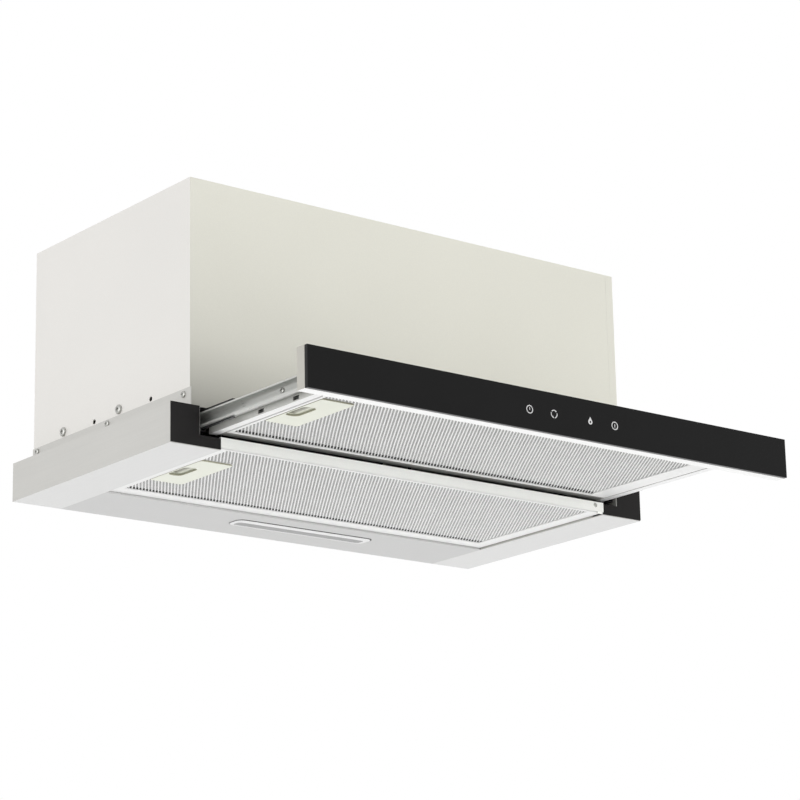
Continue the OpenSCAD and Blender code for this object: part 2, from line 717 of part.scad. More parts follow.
// Three arms that carry the motor, held by rubber bushes on the housing
module motor_bracket() color([0.7, 0.7, 0.7]) on_fan_axis(scroll_x + 2) difference() {
    union() {
        cylinder(r = 22, h = 3);
        for (a = arm_angles) rotate(a) {
            translate([0, -6, 0]) cube([arm_r, 12, 3]);
            translate([arm_r, 0, 0]) cylinder(r = 6, h = 3);
        }
    }
    translate([0, 0, -1]) cylinder(r = 6, h = 5);
    for (a = arm_angles) rotate(a) translate([arm_r, 0, -1]) cylinder(r = 2.2, h = 5);
}

module motor_bushes() color([0.1, 0.1, 0.1]) on_fan_axis(scroll_x)
    for (a = arm_angles) rotate(a) translate([arm_r, 0, 0]) {
        cylinder(r = 5, h = 2);
        cylinder(r = 2.2, h = 5.6);
        translate([0, 0, 5]) cylinder(r = 4, h = 1.5);
    }

// ---- controls ----

module control_box() color([0.85, 0.85, 0.85]) difference() {
    block(box_from, box_to);
    block([box_from[0] + box_wall, box_from[1] + box_wall, box_from[2] - 1],
          [box_to[0] - box_wall, box_to[1] - box_wall, box_to[2] - box_wall]);
    translate([inlet_at[0], inlet_at[1], plate_z - 5]) cylinder(r = 6, h = 6);
    rod_x(3, box_from[0] - 1, box_from[0] + 3, 100, box_to[2] - 10);
}

module control_box_lid() color([0.8, 0.8, 0.8]) difference() {
    block([box_from[0], box_from[1], box_from[2] - box_wall], [box_to[0], box_to[1], box_from[2]]);
    translate([200, 110, box_from[2] - 5]) cylinder(r = 3, h = 8);
}

// Board with its screw terminals and the motor's capacitor soldered on
module control_board() color([0.1, 0.35, 0.2]) {
    block([box_from[0] + box_wall, box_from[1] + box_wall, board_z],
          [box_to[0] - box_wall, box_from[1] + 66, board_z + board_t]);
    difference() {
        block([196, 44, board_z - 9], [236, 58, board_z]);
        for (i = [0 : 3]) translate([201 + 10 * i, 51, board_z - 10]) cylinder(r = 2.4, h = 7);
    }
    rod_x(9, 190, 232, 82, board_z + board_t + 8.6);
}

module cable_grommet() color([0.1, 0.1, 0.1]) translate([inlet_at[0], inlet_at[1], 0]) difference() {
    union() {
        translate([0, 0, plate_z - box_wall - 2]) cylinder(r = 9, h = 2);
        translate([0, 0, plate_z - box_wall - 1]) cylinder(r = 6, h = 5);
        translate([0, 0, case_top]) cylinder(r = 9, h = 2);
    }
    translate([0, 0, plate_z - 10]) cylinder(r = grommet_r, h = 20);
}

// Leads from the control box to the motor and to the lamp
module wiring_harness() color([0.15, 0.15, 0.15]) {
    lead([[172, 100, box_to[2] - 10], [120, 100, box_to[2] - 10], [84, 140, 160],
          [78, 176, 132], [62, fan_at[0], fan_at[1] + 28]], 2.4);
    lead([[200, 110, box_from[2] - 1], [200, 112, 160], [200, 265, 120],
          [200, 272, -20], [130, 262, low + 16], [98, lamp_at[1], low + 5]], 2);
}

casing_front_shell();
casing_right_side();
casing_rear_panel();
casing_top_plate();
base_side_left();
base_side_right();
rear_base_plate();
front_beam();
end_cap_left();
end_cap_right();
beam_rivet();
flange_screws();
side_screws();
lamp_bezel();
lamp_lens();
lamp_board();
slide_outer_left();
slide_outer_right();
slide_cage_left();
slide_cage_right();
slide_inner_left();
slide_inner_right();
slide_screws();
drawer_side_left();
drawer_side_right();
drawer_rear_beam();
drawer_top_cover();
front_profile();
glass_panel();
touch_icons();
touch_board();
touch_lead();
front_filter_frame();
front_filter_mesh();
front_latch_plate();
front_latch_slider();
front_latch_springs();
rear_filter_frame();
rear_filter_mesh();
rear_latch_plate();
rear_latch_slider();
rear_latch_springs();
outlet_collar();
flap_left();
flap_right();
blower_side_left();
blower_side_right();
blower_wrap();
impeller_disc();
impeller_rings();
impeller_blades();
motor_rotor();
motor_stator();
motor_bracket();
motor_bushes();
control_box();
control_box_lid();
control_board();
cable_grommet();
wiring_harness();
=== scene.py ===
"""A pull-out range hood with its drawer out: finishes and fine shapes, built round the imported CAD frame."""
import json
import math

import bmesh
import bpy
from mathutils import Matrix, Vector


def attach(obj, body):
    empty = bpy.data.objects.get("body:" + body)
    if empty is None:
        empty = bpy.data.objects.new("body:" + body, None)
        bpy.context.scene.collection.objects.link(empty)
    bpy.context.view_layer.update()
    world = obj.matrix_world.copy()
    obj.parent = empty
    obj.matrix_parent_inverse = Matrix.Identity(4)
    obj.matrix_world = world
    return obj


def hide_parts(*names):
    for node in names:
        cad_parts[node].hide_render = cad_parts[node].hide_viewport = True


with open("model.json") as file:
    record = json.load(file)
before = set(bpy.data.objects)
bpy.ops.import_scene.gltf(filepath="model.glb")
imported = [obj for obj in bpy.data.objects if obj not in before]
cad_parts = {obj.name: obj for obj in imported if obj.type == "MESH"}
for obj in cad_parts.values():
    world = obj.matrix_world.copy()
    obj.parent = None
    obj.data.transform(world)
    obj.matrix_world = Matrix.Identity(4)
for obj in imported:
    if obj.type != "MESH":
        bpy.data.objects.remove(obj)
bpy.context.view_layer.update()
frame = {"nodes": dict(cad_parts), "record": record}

NODES = frame["nodes"]
SLOT_OF = {s["node"]: s["material_slot"] for s in frame["record"]["subparts"]}
BODY_OF = {n: body for body, names in frame["record"]["behaviour"]["bodies"].items() for n in names}
MM = 0.001

# cell of the expanded metal, in metres: across the hood and along it
MESH_ACROSS, MESH_ALONG = 0.00389, 0.006
# half a cell, in millimetres
HALF_ACROSS, HALF_ALONG = 1.945, 3.0
# faces of the mesh by finish, in the order of its material slots: strands, hole walls in a painted shade, a
# painted shadow along the frame, and the inner side
STRAND, HOLE_WALL, SHADED_EDGE, INNER_SIDE = range(4)
FLOOR_Z, FLOOR_REACH = -1.05, 9


# ---- shader building ----

def tone(red, green, blue):
    """A finish's colour, given as it shows on a screen from 0 to 255, in the shader's own scale."""
    def straight(c):
        c /= 255
        return c / 12.92 if c <= 0.04045 else ((c + 0.055) / 1.055) ** 2.4
    return (straight(red), straight(green), straight(blue), 1.0)


def put(tree, kind, feeds=None, **settings):
    """Adds a shader node, and feeds its inputs with plain values or with other nodes' outputs."""
    made = tree.nodes.new("ShaderNode" + kind)
    for name, value in settings.items():
        setattr(made, name, value)
    for name, value in (feeds or {}).items():
        socket = made.inputs[name]
        if isinstance(value, bpy.types.NodeSocket):
            tree.links.new(value, socket)
        else:
            socket.default_value = value
    return made


def new_effect(name, inputs, outputs):
    """An empty shader group with named sockets: its tree, what it is given, and what it puts out."""
    tree = bpy.data.node_groups.new(name, "ShaderNodeTree")
    for label, kind, value in inputs:
        socket = tree.interface.new_socket(label, in_out="INPUT", socket_type="NodeSocket" + kind)
        socket.default_value = value
    for label, kind in outputs:
        tree.interface.new_socket(label, in_out="OUTPUT", socket_type="NodeSocket" + kind)
    return tree, tree.nodes.new("NodeGroupInput").outputs, tree.nodes.new("NodeGroupOutput").inputs


def place(tree, effect, feeds):
    """Puts a shader group into a material with that material's own values."""
    made = put(tree, "Group", node_tree=effect)
    for name, value in feeds.items():
        if isinstance(value, bpy.types.NodeSocket):
            tree.links.new(value, made.inputs[name])
        else:
            made.inputs[name].default_value = value
    return made.outputs


def rolled_grain():
    """Fine streaks along the way a sheet was rolled or brushed."""
    tree, given, out = new_effect(
        "Rolled grain", [("Stretch", "Vector", (1, 1, 1)), ("Scale", "Float", 400.0)], [("Mask", "Float")])
    where = put(tree, "TexCoord").outputs["Object"]
    drawn = put(tree, "VectorMath", {0: where, 1: given["Stretch"]}, operation="MULTIPLY").outputs[0]
    noise = put(tree, "TexNoise", {"Vector": drawn, "Scale": given["Scale"], "Detail": 3.0, "Roughness": 0.6})
    spread = put(tree, "MapRange", {"Value": noise.outputs["Fac"], "From Min": 0.3, "From Max": 0.7})
    tree.links.new(spread.outputs["Result"], out["Mask"])
    return tree


def soft_mottling():
    """Broad, soft clouds, as in a sprayed coat or on a handled surface."""
    tree, given, out = new_effect("Soft mottling", [("Scale", "Float", 8.0)], [("Mask", "Float")])
    where = put(tree, "TexCoord").outputs["Object"]
    noise = put(tree, "TexNoise", {"Vector": where, "Scale": given["Scale"], "Detail": 2.0,
                                   "Roughness": 0.45, "Distortion": 0.4})
    spread = put(tree, "MapRange", {"Value": noise.outputs["Fac"], "From Min": 0.3, "From Max": 0.7})
    tree.links.new(spread.outputs["Result"], out["Mask"])
    return tree


def fine_speckle():
    """Tiny even grains, as of flake in a paint, spark texture on a mould or crystals in zinc."""
    tree, given, out = new_effect("Fine speckle", [("Scale", "Float", 900.0)], [("Mask", "Float")])
    where = put(tree, "TexCoord").outputs["Object"]
    cells = put(tree, "TexVoronoi", {"Vector": where, "Scale": given["Scale"]}, feature="SMOOTH_F1")
    noise = put(tree, "TexNoise", {"Vector": where, "Scale": given["Scale"], "Detail": 1.0})
    both = put(tree, "Math", {0: cells.outputs["Distance"], 1: noise.outputs["Fac"]}, operation="MULTIPLY")
    spread = put(tree, "MapRange", {"Value": both.outputs[0], "From Min": 0.08, "From Max": 0.4})
    tree.links.new(spread.outputs["Result"], out["Mask"])
    return tree


def varied_colour():
    """A colour made a little lighter or darker by a mask, with no change at the mask's middle."""
    tree, given, out = new_effect(
        "Varied colour",
        [("Colour", "Color", (1, 1, 1, 1)), ("Mask", "Float", 0.5), ("Amount", "Float", 0.05)],
        [("Colour", "Color")])
    shifted = put(tree, "Math", {0: given["Mask"], 1: 0.5}, operation="SUBTRACT").outputs[0]
    factor = put(tree, "Math", {0: shifted, 1: given["Amount"], 2: 1.0}, operation="MULTIPLY_ADD").outputs[0]
    scaled = put(tree, "VectorMath", {0: given["Colour"], "Scale": factor}, operation="SCALE").outputs[0]
    tree.links.new(scaled, out["Colour"])
    return tree


def height_fade():
    """How far a point is above a leaning level: 0 at the level, and nearing 1 a few heights further up."""
    tree, given, out = new_effect(
        "Height fade",
        [("Level", "Float", 0.0), ("Lean", "Float", 0.0), ("Height", "Float", 0.001)],
        [("Mask", "Float")])
    where = put(tree, "SeparateXYZ", {"Vector": put(tree, "TexCoord").outputs["Object"]}).outputs
    leant = put(tree, "Math", {0: where["X"], 1: given["Lean"], 2: where["Z"]},
                operation="MULTIPLY_ADD").outputs[0]
    above = put(tree, "Math", {0: leant, 1: given["Level"]}, operation="SUBTRACT").outputs[0]
    share = put(tree, "Math", {0: above, 1: given["Height"]}, operation="DIVIDE").outputs[0]
    left = put(tree, "Math", {0: math.exp(-1), 1: share}, operation="POWER").outputs[0]
    risen = put(tree, "Math", {0: 1.0, 1: left}, operation="SUBTRACT", use_clamp=True).outputs[0]
    tree.links.new(risen, out["Mask"])
    return tree


def diamond_lattice():
    """The strands of expanded metal on a level sheet: 1 on a strand, and 0 in a hole."""
    tree, given, out = new_effect(
        "Diamond lattice",
        [("Across", "Float", MESH_ACROSS), ("Along", "Float", MESH_ALONG)],
        [("Mask", "Float")])
    where = put(tree, "SeparateXYZ", {"Vector": put(tree, "TexCoord").outputs["Object"]}).outputs
    u = put(tree, "Math", {0: where["X"], 1: given["Across"]}, operation="DIVIDE").outputs[0]
    v = put(tree, "Math", {0: where["Y"], 1: given["Along"]}, operation="DIVIDE").outputs[0]
    strands = []
    for way in ("ADD", "SUBTRACT"):
        slanted = put(tree, "Math", {0: u, 1: v}, operation=way).outputs[0]
        strands.append(put(tree, "Math", {0: slanted, 1: 0.5}, operation="PINGPONG").outputs[0])
    nearest = put(tree, "Math", {0: strands[0], 1: strands[1]}, operation="MINIMUM").outputs[0]
    edge = put(tree, "MapRange", {"Value": nearest, "From Min": 0.22, "From Max": 0.16})
    tree.links.new(edge.outputs["Result"], out["Mask"])
    return tree


GRAIN, MOTTLING, SPECKLE, VARIED, FADE, LATTICE = (
    rolled_grain(), soft_mottling(), fine_speckle(), varied_colour(), height_fade(), diamond_lattice())


def new_material(name):
    """A material with its Principled shader, ready to be fed."""
    made = bpy.data.materials.new(name)
    made.use_nodes = True
    return made, made.node_tree, made.node_tree.nodes["Principled BSDF"]


def by_facing(tree, axis, towards, elsewhere, both_ways=False):
    """One colour on faces that look down an axis, or along it both ways, and another on the rest, which
    paints light and shade by which way a face looks.
    """
    normal = put(tree, "NewGeometry").outputs["True Normal"]
    facing = put(tree, "SeparateXYZ", {"Vector": normal}).outputs[axis]
    if both_ways:
        away = put(tree, "Math", {0: facing}, operation="ABSOLUTE").outputs[0]
        facing = put(tree, "Math", {0: away, 1: -1.0}, operation="MULTIPLY").outputs[0]
    share = put(tree, "MapRange", {"Value": facing, "From Min": -0.3, "From Max": -0.9}).outputs["Result"]
    return put(tree, "Mix", {"Factor": share, 6: elsewhere, 7: towards}, data_type="RGBA").outputs[2]


def coating(name, colour, rough, metal=0.0, mottle=(7.0, 0.03), speck=(900.0, 0.03), streak=None,
            relief=0.00002, shine=0.5, under=None, flats=None, deep=None):
    """A finish on a sheet or moulding: clouds, specks and streaks in its colour, roughness and relief.
    mottle and speck are (scale, amount), and streak is (stretch, scale, amount). under is a colour for
    undersides, painted lighter than the sides as light from below. flats is the colour of both level sides,
    which leaves colour on the walls, where it is a painted shade. deep is (level, height, colour), for a
    painted shade that darkens upwards from a level in a recess."""
    made, tree, skin = new_material(name)
    clouds = place(tree, MOTTLING, {"Scale": mottle[0]})["Mask"]
    specks = place(tree, SPECKLE, {"Scale": speck[0]})["Mask"]
    if under:
        colour = by_facing(tree, "Z", under, colour)
    if flats:
        colour = by_facing(tree, "Z", flats, colour, both_ways=True)
    if deep:
        depth = place(tree, FADE, {"Level": deep[0], "Height": deep[1]})["Mask"]
        colour = put(tree, "Mix", {"Factor": depth, 6: colour, 7: deep[2]}, data_type="RGBA").outputs[2]
    colour = place(tree, VARIED, {"Colour": colour, "Mask": clouds, "Amount": mottle[1]})["Colour"]
    colour = place(tree, VARIED, {"Colour": colour, "Mask": specks, "Amount": speck[1]})["Colour"]
    height = specks
    if streak:
        height = place(tree, GRAIN, {"Stretch": streak[0], "Scale": streak[1]})["Mask"]
        colour = place(tree, VARIED, {"Colour": colour, "Mask": height, "Amount": streak[2]})["Colour"]
    tree.links.new(colour, skin.inputs["Base Color"])
    uneven = put(tree, "Math", {0: clouds, 1: height}, operation="ADD").outputs[0]
    roughness = put(tree, "MapRange", {"Value": uneven, "From Max": 2.0,
                                       "To Min": rough * 0.85, "To Max": rough * 1.15})
    tree.links.new(roughness.outputs["Result"], skin.inputs["Roughness"])
    raised = put(tree, "Bump", {"Height": height, "Strength": 0.6, "Distance": relief})
    tree.links.new(raised.outputs["Normal"], skin.inputs["Normal"])
    skin.inputs["Metallic"].default_value = metal
    skin.inputs["Specular IOR Level"].default_value = shine
    return made


# stretch of a grain that runs along x or y
ALONG_X, ALONG_Y = (0.02, 1, 1), (1, 0.02, 1)


def black_glass():
    """Tempered glass, painted black behind: smooth, with faint smears."""
    made, tree, skin = new_material("front_glass")
    smears = place(tree, MOTTLING, {"Scale": 14.0})["Mask"]
    colour = place(tree, VARIED, {"Colour": tone(17, 17, 17), "Mask": smears, "Amount": 0.06})["Colour"]
    tree.links.new(colour, skin.inputs["Base Color"])
    roughness = put(tree, "MapRange", {"Value": smears, "To Min": 0.10, "To Max": 0.17})
    tree.links.new(roughness.outputs["Result"], skin.inputs["Roughness"])
    skin.inputs["Specular IOR Level"].default_value = 0.24
    return made


def lattice_back():
    """The inner side of the mesh: bright strands, with a painted shade between them where holes would show.
    """
    made, tree, skin = new_material("mesh_inner_side")
    strands = place(tree, LATTICE, {"Across": MESH_ACROSS, "Along": MESH_ALONG})["Mask"]
    specks = place(tree, SPECKLE, {"Scale": 1300.0})["Mask"]
    metal = place(tree, VARIED, {"Colour": tone(238, 238, 237), "Mask": specks, "Amount": 0.1})["Colour"]
    # painted shade: the dark tone fills the hole places between the strands
    colour = put(tree, "Mix", {"Factor": strands, 6: tone(84, 84, 83), 7: metal}, data_type="RGBA").outputs[2]
    tree.links.new(colour, skin.inputs["Base Color"])
    raised = put(tree, "Bump", {"Height": strands, "Strength": 0.5, "Distance": 0.0003})
    tree.links.new(raised.outputs["Normal"], skin.inputs["Normal"])
    roughness = put(tree, "MapRange", {"Value": specks, "To Min": 0.34, "To Max": 0.44})
    tree.links.new(roughness.outputs["Result"], skin.inputs["Roughness"])
    skin.inputs["Metallic"].default_value = 0.25
    return made


def casing_paint():
    """Satin champagne coat over steel. The faces that look forward are cream, with a painted shade that
    darkens them towards the bottom. The sides are whiter: a painted difference in how light falls on the one
    sheet.
    """
    made, tree, skin = new_material("casing_sheet")
    # painted shade: the forward faces darken towards the bottom, where the drawer shades them
    painted_shade_low = place(tree, FADE, {"Level": -0.069, "Lean": 0.25, "Height": 0.085})["Mask"]
    cream = put(tree, "Mix", {"Factor": painted_shade_low, 6: tone(172, 171, 163), 7: tone(227, 226, 215)},
                data_type="RGBA")
    # painted light: the sides of the same sheet get a whiter colour than its forward faces
    base = by_facing(tree, "Y", cream.outputs[2], tone(228, 226, 222))
    clouds = place(tree, MOTTLING, {"Scale": 5.0})["Mask"]
    specks = place(tree, SPECKLE, {"Scale": 1100.0})["Mask"]
    colour = place(tree, VARIED, {"Colour": base, "Mask": clouds, "Amount": 0.02})["Colour"]
    colour = place(tree, VARIED, {"Colour": colour, "Mask": specks, "Amount": 0.03})["Colour"]
    tree.links.new(colour, skin.inputs["Base Color"])
    roughness = put(tree, "MapRange", {"Value": clouds, "To Min": 0.40, "To Max": 0.48})
    tree.links.new(roughness.outputs["Result"], skin.inputs["Roughness"])
    raised = put(tree, "Bump", {"Height": specks, "Strength": 0.5, "Distance": 0.00001})
    tree.links.new(raised.outputs["Normal"], skin.inputs["Normal"])
    skin.inputs["Metallic"].default_value = 0.15
    return made


# What coating() is given for each plain finish of the record.
COATINGS = {
    # painted light: the undersides are lighter than the sides, as if lit from below
    "base_sheet": dict(colour=tone(200, 199, 195), rough=0.38, metal=0.35, mottle=(6.0, 0.04),
                       speck=(1200.0, 0.03), streak=(ALONG_Y, 500.0, 0.04), under=tone(222, 222, 221)),
    "white_sheet": dict(colour=tone(252, 253, 249), rough=0.42, relief=1e-05),
    "cap_plastic": dict(colour=tone(18, 16, 16), rough=0.65, mottle=(20.0, 0.08), speck=(1500.0, 0.15),
                        relief=3e-05, shine=0.3),
    "zinc_steel": dict(colour=tone(184, 184, 180), rough=0.28, metal=0.75, mottle=(60.0, 0.08),
                       speck=(1500.0, 0.08), streak=(ALONG_Y, 800.0, 0.08)),
    "lamp_trim": dict(colour=tone(246, 246, 246), rough=0.4, mottle=(40.0, 0.02),
                      speck=(2000.0, 0.03)),
    "lamp_cover": dict(colour=tone(150, 150, 150), rough=0.35, mottle=(50.0, 0.03),
                       speck=(1800.0, 0.06), relief=5e-05),
    "white_board": dict(colour=tone(238, 238, 230), rough=0.5),
    "cage_plastic": dict(colour=tone(36, 36, 36), rough=0.35, mottle=(80.0, 0.1), speck=(2000.0, 0.1)),
    # painted light: the undersides are lighter than the sides, as if lit from below
    "drawer_sheet": dict(colour=tone(202, 202, 198), rough=0.36, metal=0.3, mottle=(9.0, 0.04),
                         speck=(1300.0, 0.03), streak=(ALONG_Y, 500.0, 0.04),
                         under=tone(246, 246, 245)),
    "dark_sheet": dict(colour=tone(158, 158, 156), rough=0.45, metal=0.2, mottle=(20.0, 0.05),
                       speck=(1300.0, 0.05)),
    # painted light: the underside is lighter than the sides, as if lit from below
    "profile_metal": dict(colour=tone(190, 188, 180), rough=0.34, metal=0.4, mottle=(15.0, 0.03),
                          speck=(1500.0, 0.04), streak=(ALONG_X, 700.0, 0.05),
                          under=tone(250, 250, 249)),
    "key_print": dict(colour=tone(205, 205, 205), rough=0.5, mottle=(300.0, 0.03),
                      speck=(3000.0, 0.04), relief=5e-06),
    "green_board": dict(colour=tone(28, 96, 52), rough=0.4, mottle=(60.0, 0.2), speck=(700.0, 0.2)),
    "lead_sleeve": dict(colour=tone(32, 32, 32), rough=0.5, mottle=(80.0, 0.1), speck=(1500.0, 0.1)),
    "filter_frame_metal": dict(colour=tone(248, 248, 247), rough=0.36, metal=0.15, mottle=(12.0, 0.03),
                               speck=(1400.0, 0.03), streak=(ALONG_X, 600.0, 0.02)),
    # painted shade: colour darkens the walls of the latch recesses; flats is the plastic's own cream
    "latch_plastic": dict(colour=tone(168, 166, 146), rough=0.33, mottle=(40.0, 0.02),
                          speck=(1800.0, 0.02), relief=1e-05, flats=tone(246, 248, 233)),
    "spring_steel": dict(colour=tone(190, 190, 190), rough=0.25, metal=0.9, mottle=(200.0, 0.1),
                         speck=(3000.0, 0.1)),
    "collar_plastic": dict(colour=tone(38, 38, 39), rough=0.48, mottle=(20.0, 0.08),
                           speck=(1300.0, 0.12), relief=3e-05),
    "blower_plastic": dict(colour=tone(62, 62, 65), rough=0.5, mottle=(15.0, 0.08),
                           speck=(1100.0, 0.12), relief=3e-05),
    "motor_steel": dict(colour=tone(178, 174, 168), rough=0.35, metal=0.7, mottle=(30.0, 0.1),
                        speck=(1300.0, 0.1), streak=((60, 1, 1), 40.0, 0.3), relief=0.0001),
    "bush_rubber": dict(colour=tone(30, 30, 30), rough=0.7, mottle=(50.0, 0.1), speck=(1400.0, 0.15)),
    "box_plastic": dict(colour=tone(222, 222, 219), rough=0.5, mottle=(20.0, 0.03),
                        speck=(1300.0, 0.05), relief=3e-05),
    "filter_mesh_metal": dict(colour=tone(246, 246, 245), rough=0.38, metal=0.25, mottle=(30.0, 0.06),
                              speck=(1300.0, 0.1), relief=3e-05),
}
FINISHES = {name: coating(name, **given) for name, given in COATINGS.items()}
FINISHES["casing_sheet"] = casing_paint()
FINISHES["front_glass"] = black_glass()
# the same steel as base_sheet, without its painted lighter undersides
REAR_PLATE = coating("rear_plate_sheet", tone(200, 200, 199), 0.38, 0.35, (6.0, 0.04), (1200.0, 0.03),
                     (ALONG_X, 500.0, 0.03))
# painted shade on the mesh's hole walls, and a darker painted shadow for the rows by the frame
HOLE_WALLS = coating("mesh_hole_walls", tone(108, 108, 106), 0.5, 0.2, (60.0, 0.1), (1300.0, 0.1))
SHADED_EDGE_FINISH = coating("mesh_edge_painted_shadow", tone(52, 52, 51), 0.6, 0.1, (60.0, 0.1), (1300.0, 0.1))
MESH_BACK = lattice_back()
# painted shade: the dark ring round the lamp frame
LAMP_GAP_SHADE = coating("lamp_gap_painted_shade", tone(62, 62, 61), 0.6, 0.0, (60.0, 0.06), (1500.0, 0.08))
RACE_STEEL = coating("slide_race_steel", tone(196, 197, 193), 0.3, 0.4, (60.0, 0.05), (1500.0, 0.05),
                     (ALONG_Y, 800.0, 0.05))
# painted shade: the latch trays darken upwards from a level, deeper into the finger recess
FRONT_TRAY, REAR_TRAY = (
    coating(name, tone(240, 242, 226), 0.4, 0.0, (40.0, 0.03), (1800.0, 0.03), relief=0.00001,
            deep=(level * MM, 0.5 * MM, tone(104, 99, 82)))
    for name, level in (("front_latch_tray", -22.2), ("rear_latch_tray", -36.2)))
DARK_CHANNEL = coating("dark_channel", tone(30, 30, 30), 0.6, 0.3, (60.0, 0.08), (1500.0, 0.08))


# ---- mesh building ----

def piece(name, points, faces, finish, body, stands_for=(), crease=35, kinds=None, scale=MM):
    """One object from points in millimetres: smooth but for its creases, riding on a body of the frame."""
    mesh = bpy.data.meshes.new(name)
    mesh.from_pydata([tuple(c * scale for c in p) for p in points], [], faces)
    if kinds:
        mesh.polygons.foreach_set("material_index", kinds)
    mesh.polygons.foreach_set("use_smooth", [True] * len(mesh.polygons))
    mesh.update()
    made = bpy.data.objects.new(name, mesh)
    bpy.context.scene.collection.objects.link(made)
    for m in finish if isinstance(finish, (list, tuple)) else [finish]:
        mesh.materials.append(m)
    solid = bmesh.new()
    solid.from_mesh(mesh)
    bmesh.ops.recalc_face_normals(solid, faces=solid.faces)
    solid.to_mesh(mesh)
    solid.free()
    mesh.set_sharp_from_angle(angle=math.radians(crease))
    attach(made, body)
    if stands_for:
        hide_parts(*stands_for)
    return made


def rounded(node, radius, turns=2):
    """A copy of a CAD solid with its sharp edges rounded, as folding, moulding or grinding leaves them."""
    solid = bmesh.new()
    solid.from_mesh(NODES[node].data)
    bmesh.ops.remove_doubles(solid, verts=solid.verts, dist=0.000002)
    bmesh.ops.dissolve_limit(solid, angle_limit=math.radians(0.5), verts=solid.verts, edges=solid.edges)
    sharp = [e for e in solid.edges if e.is_manifold and e.calc_face_angle() > math.radians(35)]
    bmesh.ops.bevel(solid, geom=sharp, offset=radius * MM, segments=turns, profile=0.5,
                    affect="EDGES", clamp_overlap=True)
    points = [tuple(v.co) for v in solid.verts]
    solid.verts.index_update()
    faces = [[v.index for v in f.verts] for f in solid.faces]
    solid.free()
    made = piece(node + "_formed", points, faces, OWN_FINISH.get(node, FINISHES[SLOT_OF[node]]),
                 BODY_OF[node], (node,), crease=50, scale=1)
    flat = made.modifiers.new("flat faces stay flat", "WEIGHTED_NORMAL")
    flat.keep_sharp, flat.weight = True, 100
    return made


class Shape:
    """Points and faces gathered for one piece."""
    def __init__(self):
        self.points, self.faces = [], []

    def add(self, points, faces):
        start = len(self.points)
        self.points += points
        self.faces += [[start + i for i in f] for f in faces]

    def rings(self, rings, round_again=False):
        """Skins closed rings of equal length in turn. The ends are shut, or the last ring joins the first."""
        size, many = len(rings[0]), len(rings)
        faces = []
        for a in range(many if round_again else many - 1):
            here, ahead = a * size, (a + 1) % many * size
            faces += [[here + k, here + (k + 1) % size, ahead + (k + 1) % size, ahead + k]
                      for k in range(size)]
        if not round_again:
            faces += [list(range(size))[::-1], [(many - 1) * size + k for k in range(size)]]
        self.add([p for ring in rings for p in ring], faces)


def turned(profile, steps, put_at):
    """Rings of a turned shape from (radius, height) pairs. put_at maps (across, up, height) to a point."""
    return [[put_at(r * math.cos(2 * math.pi * k / steps), r * math.sin(2 * math.pi * k / steps), h)
             for k in range(steps)] for r, h in profile]


# ---- mesh of the filters ----

def steps_through(stops, half):
    """Even steps through a list of stops, each stretch cut in whole half cells of about the wanted size."""
    line = [stops[0]]
    for a, b in zip(stops, stops[1:]):
        count = max(1, round((b - a) / half))
        line += [a + (b - a) * (k + 1) / count for k in range(count)]
    return line


